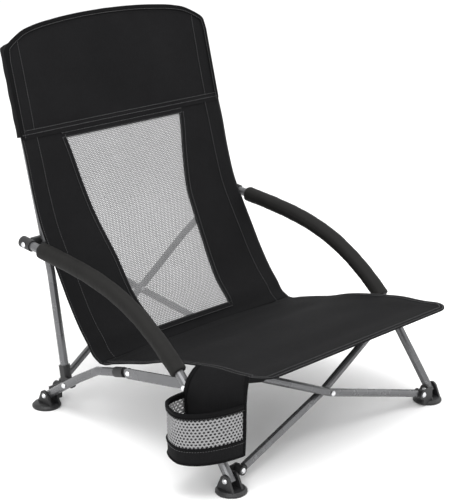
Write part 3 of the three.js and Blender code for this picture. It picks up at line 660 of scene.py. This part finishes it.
steps = [window_low + (window_top - window_low) * k / 60 for k in range(61)]
borders = {
    "right": [(-window_half(d) - 0.002, d) for d in steps],
    "left": [(window_half(d) + 0.002, d) for d in steps],
    "top": [(window_half(window_top) * (k / 20 - 1) * 1.03, window_top + 0.002) for k in range(41)],
    "low": [(window_half(window_low) * (k / 20 - 1) * 1.05, window_low - 0.002) for k in range(41)],
}
for name, spots in borders.items():
    border = strip(f"window_binding_{name}", *frame_line(spots, 0.0009), FLAT_TAPE, weave)
    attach(border, "upright_right")
    fold_flat(border)
window_seams = []
for name, spots in borders.items():
    for shift in (-0.004, 0.004):
        centres, acrosses, normals = frame_line(spots, 0.0014)
        window_seams.append(([c + a * shift for c, a in zip(centres, acrosses)], normals))
window_thread = stitches(
    "window_stitching", window_seams, "upright_right", pitch=0.0036, length=0.0026,
)
0.482 * back_long * 0.62


# Corner pockets: a doubled scrap of the seat cloth is sewn under each front corner, and
# takes the upper end of a front cross tube, which pulls the corner forward and down.
POCKET = [
    (-0.0125, 0.008), (-0.0112, -0.001), (-0.0085, -0.0075), (-0.0035, -0.0102),
    (0.0035, -0.0102), (0.0085, -0.0075), (0.0112, -0.001), (0.0125, 0.008),
]
for side, s in SIDES:
    other = "left" if side == "right" else "right"
    tube = np.array([v.co for v in nodes[f"front_cross_tube_{other}"].data.vertices])
    far = tube[np.argsort(tube[:, 0] * s)[-24:]]
    tip = Vector(far.mean(axis=0))
    near = tube[np.abs(tube[:, 0] - (tip.x - s * 0.05)) < 0.012]
    inner = Vector(near.mean(axis=0)) if len(near) else tip + Vector((-s * 0.05, 0, -0.012))
    run = (inner - tip).normalized()
    across = Vector((0, 1, 0))
    above = run.cross(across).normalized()
    above = above if above.z > 0 else -above
    centres = [tip - run * 0.010 + run * 0.085 * k / 14 for k in range(15)]
    pocket = strip(
        f"corner_pocket_{side}", centres, [across] * 15, [above] * 15, POCKET, weave, 0.0014,
    )
    bm = bmesh.new()
    bm.from_mesh(pocket.data)
    for vert in bm.verts:
        past = (tip - run * 0.002 - vert.co).dot(run) / 0.008
        if past > 0:
            below = max(0.0, -(vert.co - tip).dot(above))
            vert.co += above * min(1, past) ** 2 * below
    bm.to_mesh(pocket.data)
    bm.free()
    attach(pocket, "seat")
    fold_flat(pocket)


# Netting: knitted polyester, pale grey, with staggered round holes that let air and some
# of the view through. Its edges run a little way under the window binding.
def net_finish(name, pitch, radius, pale, deep):
    net = Finish(name, Specular_IOR_Level=0.3, Roughness=0.75)
    where = net.place("UV")
    masks = []
    for shift in (0.0, 0.5):
        x = (net.axis(where, "X") * (1 / pitch) + shift).maths("FRACT") - 0.5
        y = (net.axis(where, "Y") * (1 / (pitch * 1.732)) + shift).maths("FRACT") - 0.5
        away = (x * x + y * y * 3) ** 0.5
        masks.append(1 - away.ramp(radius / pitch * 0.8, radius / pitch))
    hole = masks[0].maths("MAXIMUM", masks[1])
    yarn = net.grain(where, 900, 2)
    cloud = net.grain(where, 14, 3)
    tone = net.mix(yarn * 0.6 + cloud * 0.4, deep, pale)
    net.give(Base_Color=tone, Alpha=1 - hole * 0.94)
    net.bump(yarn * 0.3 - hole, 0.0004, 0.8)
    return net


net = net_finish(
    "pale grey netting", 0.0036, 0.0011, (0.22, 0.22, 0.224, 1), (0.12, 0.12, 0.123, 1),
)


def mesh_spot(u, v):
    distance = between(v, -1, 1, window_low - 0.004, window_top + 0.004)
    x = u * (window_half(distance) + 0.005)
    return back_at(x, distance, -0.0013), (x + 0.5, distance + 0.2)


netting = cloth_piece("back_netting", 60, 90, mesh_spot, 0.0005, net)
settle(netting)
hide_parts("mesh_panel")
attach(netting, "upright_right")
fold_flat(netting)


# Head panel: a doubled cut of polyester with a bowed top edge, sewn to the back along a
# twice-stitched seam. A closed sleeve down each side slips over the top of the frame.
KNEE = Vector((0, 0.2355, 0.25))
UP = Vector((0, 0.2494, 0.9684))
FRONT = Vector((0, -0.9684, 0.2494))
UPRIGHT_LONG = 0.3944
HEAD_LOW = 0.24
head_top = smooth_line([
    (0, 0.4393), (0.06, 0.4378), (0.12, 0.4335), (0.17, 0.4268), (0.195, 0.4205), (0.212, 0.4125),
    (0.226, 0.4045), (0.235, 0.3975), (0.2395, 0.388), (0.2405, 0.375),
])


def head_height(x):
    return float(np.interp(abs(x), head_top[0][:, 0], head_top[0][:, 1]))


def head_at(x, along, lift=0.0):
    share = (along - HEAD_LOW) / 0.2
    belly = max(0.0, 1 - (x / SLING_HALF) ** 2)
    hollow = -0.011 * belly * (1 - 0.55 * max(0.0, share))
    edge = min(SLING_HALF - abs(x), head_height(x) - along)
    fold = noise.noise(Vector((x * 7, along * 9, 9.3))) * 0.0022
    slack = 0.0016 * math.sin(26 * x + 18 * along) * belly
    hem = 0.0008 * (1 - min(1, max(0.0, (edge - 0.011) / 0.0015)))
    free = max(0.0, min(1, edge / 0.03)) * min(1, max(0.0, (along - HEAD_LOW) / 0.02))
    out = 0.0103 + hollow + (fold + slack) * free + hem + lift
    return KNEE + UP * along + FRONT * out + Vector((x, 0, 0))


def head_spot(u, v):
    x = dense(u) * 0.2405
    share = (dense(v) + 1) / 2
    along = HEAD_LOW + share * (head_height(x) - HEAD_LOW)
    return head_at(x, along), (x + 0.5, along + 0.4)


head = cloth_piece("head_cloth", 90, 70, head_spot, 0.0022)
settle(head)
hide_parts("head_panel")
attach(head, "upright_right")
fold_flat(head)
SLEEVE = (
    (-0.0150, 0.0085), (-0.0142, 0.003), (-0.0125, -0.003), (-0.0088, -0.0078), (-0.0035, -0.0099),
    (0.0025, -0.0101), (0.0085, -0.0082), (0.0124, -0.0035), (0.0142, 0.003), (0.0146, 0.0085),
)
for side, s in SIDES:
    def sleeve_spot(u, v, s=s):
        k = (u + 1) / 2 * (len(SLEEVE) - 1)
        i = min(int(k), len(SLEEVE) - 2)
        a, b = SLEEVE[i], SLEEVE[i + 1]
        across = a[0] + (b[0] - a[0]) * (k - i)
        out = a[1] + (b[1] - a[1]) * (k - i)
        top = UPRIGHT_LONG + 0.009
        share = (v + 1) / 2
        along = HEAD_LOW + 0.001 + (top - HEAD_LOW - 0.001) * share
        shut = max(0.0, (along - UPRIGHT_LONG) / (top - UPRIGHT_LONG))
        outline = np.interp(-along, -head_top[0][:, 1], head_top[0][:, 0])
        x = min(0.226 + across, float(outline) - 0.0004)
        out = out + (0.0088 - out) * min(1, shut) ** 2.5
        ripple = 0.0006 * math.sin(along * 150 + across * 90) * (1 if out < 0 else 0)
        place = KNEE + UP * along + FRONT * (out + ripple) + Vector((s * x, 0, 0))
        return place, (across + 0.5, along)

    sleeve = cloth_piece(f"head_sleeve_{side}", 36, 60, sleeve_spot, 0.0012)
    settle(sleeve)
    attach(sleeve, f"upright_{side}")

ACROSS = [(k / 60 - 1) * 0.2385 for k in range(121)]


def seam_line(spots, lift):
    places = [head_at(x, a, lift) for x, a in spots]
    return places, [FRONT] * len(places)


edge_line = [(-0.2405, HEAD_LOW + 0.131 * k / 30) for k in range(30)]
edge_line += [(x, head_height(x)) for x in np.linspace(-0.2405, 0.2405, 161)]
edge_line += [(0.2405, HEAD_LOW + 0.131 * k / 30) for k in range(29, -1, -1)]
centres = [head_at(x, a) for x, a in edge_line]
inwards = []
for k, c in enumerate(centres):
    a, b = centres[max(0, k - 2)], centres[min(len(centres) - 1, k + 2)]
    inwards.append((b - a).normalized().cross(FRONT).normalized())
middle = KNEE + UP * 0.3
if inwards[60].dot(middle - centres[60]) < 0:
    inwards = [-n for n in inwards]
U_TAPE = [
    (0.0085, 0.0019), (0.004, 0.0021), (0.0, 0.0018), (-0.0009, 0.0),
    (0.0, -0.0018), (0.004, -0.0021), (0.0085, -0.0019),
]
head_edge = strip("head_edge_binding", centres, inwards, [FRONT] * len(centres), U_TAPE, tape)
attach(head_edge, "upright_right")
fold_flat(head_edge)
SEAM_FOLD = [
    (-0.006, -0.0012), (-0.0062, 0.0008), (-0.002, 0.0016), (0.004, 0.0014), (0.0068, 0.0002),
]
seam_spots = [(x, HEAD_LOW + 0.002) for x in ACROSS]
seam_tape = strip(
    "head_seam_fold", seam_line(seam_spots, 0.001)[0], [UP] * 121, [FRONT] * 121, SEAM_FOLD, weave,
)
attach(seam_tape, "upright_right")
fold_flat(seam_tape)
head_seams = [
    seam_line([(x, HEAD_LOW + 0.0035) for x in ACROSS], 0.0032),
    seam_line([(x, HEAD_LOW + 0.0105) for x in ACROSS], 0.0018),
    ([c + i * 0.0068 + FRONT * 0.0024 for c, i in zip(centres, inwards)], [FRONT] * len(centres)),
]
for sign in (-1, 1):
    rising = [(sign * 0.2095, HEAD_LOW + 0.012 + 0.158 * k / 40) for k in range(41)]
    head_seams.append(seam_line(rising, 0.0016))
stitches("head_stitching", head_seams, "upright_right")


# Cup holder, on the sitter's right: a panel hangs from the seat's side hem, and a bowed
# pocket is sewn to it, with a firm rim band, an open net wall and a cloth base.
CUP_MID = -0.2008
CUP_HALF = 0.0528
CUP_REACH = 0.0658
CUP_BAND = 0.0925
CUP_RIM = 0.1417


def panel_face(y):
    """How far out the panel hangs: it lies against the leg and falls back in before it."""
    past = max(0.0, (-0.196 - y) / 0.0565)
    return -0.2715 + 0.0235 * min(1.1, past) ** 1.25


HEM_X = -0.2395
HANG_OUT = -0.0325
hang_line, hang_run = smooth_line([
    (HEM_X, 0.1785), (-0.2485, 0.1755), (-0.2595, 0.168), (-0.2665, 0.159), (-0.2712, 0.147),
    (-0.2718, 0.12), (-0.272, 0.0665),
], 200)


def hang_at(share, y):
    """The hanging panel: from the seat's hem it turns down and falls straight."""
    down = share * hang_run[-1]
    at = np.interp(down, hang_run, hang_line[:, 0])
    at = HEM_X + (at - HEM_X) * (panel_face(y) - HEM_X) / HANG_OUT
    z = np.interp(down, hang_run, hang_line[:, 1])
    wave = 0.0012 * math.sin(y * 55 + share * 5) * share
    return Vector((at + wave, y, z))


HEM_Y = (-0.2545, -0.2345, -0.2, -0.1775, -0.1445)
HEM_Z = (0.1957, 0.193, 0.191, 0.189, 0.1835)


def hang_spot(u, v):
    share = (1 - v) / 2
    y = CUP_MID + u * (0.0545 + 0.002 * (1 - share))
    hem = float(np.interp(y, HEM_Y, HEM_Z)) + 0.0022
    place = hang_at(share, y)
    rise = (hem - 0.1785) * (1 - share) ** 3
    return place + Vector((0, 0, rise)), (y + 0.5, share * 0.13)


hang = cloth_piece("cup_hanging_panel", 30, 50, hang_spot, 0.0014)
settle(hang)
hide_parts("cup_backing")
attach(hang, "seat")


def cup_at(angle, z, grow=0.0):
    """The pocket's wall: angle 0 to pi runs from the front edge of the panel to the rear."""
    squareness = 1.0 if angle < math.pi / 2 else 0.66
    full = max(0.0, math.sin(angle)) ** squareness
    sag = 1 - 0.05 * (1 - (z - 0.066) / 0.086) + 0.02 * math.sin(math.pi * (z - 0.066) / 0.086)
    y = CUP_MID - (CUP_HALF + grow) * math.cos(angle)
    x = panel_face(y) - 0.0018 - (CUP_REACH * sag) * full - grow * math.sin(angle)
    return Vector((x, y, z + 0.0012 * math.sin(angle * 3 + 1)))


def wall_spot(low, top, grow):
    def spot(u, v):
        angle = (u + 1) / 2 * math.pi
        z = between(v, -1, 1, low, top)
        return cup_at(angle, z, grow), (angle * 0.062, z)
    return spot


open_net = net_finish(
    "open cup netting", 0.0058, 0.0020, (0.3, 0.3, 0.304, 1), (0.17, 0.17, 0.174, 1),
)
rim = cloth_piece("cup_rim_band", 72, 6, wall_spot(CUP_RIM, 0.152, 0.0006), 0.0024, tape)
net_spot = wall_spot(CUP_BAND - 0.002, CUP_RIM + 0.001, 0.0)
wall = cloth_piece("cup_net_wall", 90, 24, net_spot, 0.0007, open_net)
band = cloth_piece("cup_base_band", 72, 12, wall_spot(0.0665, CUP_BAND, 0.0004), 0.0018, weave)


def floor_spot(u, v):
    angle = (u + 1) / 2 * math.pi
    edge = cup_at(angle, 0.0672, -0.001)
    inner = Vector((panel_face(edge.y) - 0.001, edge.y, 0.0672))
    return inner.lerp(edge, (v + 1) / 2) - Vector((0, 0, 0.0006)), (edge.y, edge.x * (v + 1) / 2)


under = cloth_piece("cup_floor", 48, 12, floor_spot, 0.0014, weave)
for piece, node in ((rim, "cup_rim"), (wall, "cup_mesh_wall"), (band, "cup_base")):
    settle(piece)
    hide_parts(node)
    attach(piece, "seat")
settle(under)
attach(under, "seat")

cup_tapes = []
for name, sign in (("front", -1), ("rear", 1)):
    line = [hang_spot(sign, 1 - 2 * k / 40)[0] for k in range(41)]
    facing = []
    for k in range(41):
        a, b = line[max(0, k - 1)], line[min(40, k + 1)]
        facing.append((b - a).normalized().cross(Vector((0, 1, 0))).normalized())
    inside = [Vector((0, -sign, 0))] * 41
    edging = strip(f"cup_{name}_edging", line, inside, facing, U_TAPE, tape)
    cup_tapes.append(edging)


def pocket_out(steps):
    """The way the pocket's wall faces, at each step round it."""
    turns = [math.pi * k / steps for k in range(steps + 1)]
    return [Vector((-math.sin(a) - 0.001, -math.cos(a), 0)).normalized() for a in turns]


rim_line = [cup_at(math.pi * k / 60, 0.152, 0.0006) for k in range(61)]
rim_out = pocket_out(60)
cup_tapes.append(strip("cup_rim_edging", rim_line, [Vector((0, 0, -1))] * 61, rim_out, [
    (0.0045, 0.0021), (0.001, 0.0021), (-0.0005, 0.0), (0.001, -0.0021), (0.0045, -0.0021),
], tape))
for low in (0.0665, CUP_BAND):
    line = [cup_at(math.pi * k / 60, low, 0.0012) for k in range(61)]
    name = f"cup_piping_{round(low * 1e4)}"
    cup_tapes.append(strip(name, line, [Vector((0, 0, 1))] * 61, rim_out, [
        (-0.0018, 0.0), (-0.0012, 0.0011), (0.0, 0.0016), (0.0012, 0.0011), (0.0018, 0.0),
    ], tape))
cup_seams = []
for z, grow in ((CUP_RIM + 0.0016, 0.0022), (CUP_BAND - 0.004, 0.0018)):
    line = [cup_at(math.pi * k / 90, z, grow) for k in range(91)]
    cup_seams.append((line, pocket_out(90)))
mesh = bpy.data.meshes.new("cup_stitching")
bm = bmesh.new()
for places, normals in cup_seams:
    stitch_run(bm, places, normals)
bm.to_mesh(mesh)
bm.free()
cup_thread = new_piece("cup_stitching", mesh)
wear(cup_thread, cotton, 30)
cup_tapes.append(cup_thread)
for piece in cup_tapes:
    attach(piece, "seat")
for piece in (hang, rim, wall, band, under, *cup_tapes):
    fold_flat(piece)


# Floor and light: a plain pale ground and broad soft lamps, with the room's own light.
ground_mesh = bpy.data.meshes.new("ground")
bm = bmesh.new()
bmesh.ops.create_grid(bm, x_segments=1, y_segments=1, size=14)
bm.to_mesh(ground_mesh)
bm.free()
ground = new_piece("ground", ground_mesh)
pale = Finish("pale ground", Roughness=0.9, Specular_IOR_Level=0.1)
mottle = pale.grain(pale.place(), 1.5, 2)
pale.give(Base_Color=pale.mix(mottle, (0.93, 0.93, 0.93, 1), (0.95, 0.95, 0.95, 1)))
ground.data.materials.append(pale.material)

world = bpy.data.worlds.new("room light")
world.use_nodes = True
world.node_tree.nodes["Background"].inputs[0].default_value = (1, 1, 1, 1)
world.node_tree.nodes["Background"].inputs[1].default_value = 1.1
bpy.context.scene.world = world
LAMPS = (
    ("overhead softbox", (-0.6, -0.4, 2.6), 50, 2.2),
    ("front right softbox", (-2.6, -1.2, 1.6), 28, 1.4),
    ("left softbox", (2.2, -1.6, 1.8), 18, 1.4),
)
for name, where, power, size in LAMPS:
    lamp = bpy.data.objects.new(name, bpy.data.lights.new(name, "AREA"))
    bpy.context.scene.collection.objects.link(lamp)
    lamp.data.energy = power
    lamp.data.size = size
    lamp.location = where
    lamp.rotation_euler = (Vector((0, 0, 0.3)) - Vector(where)).to_track_quat("-Z", "Y").to_euler()
bpy.context.scene.view_settings.view_transform = "Standard"
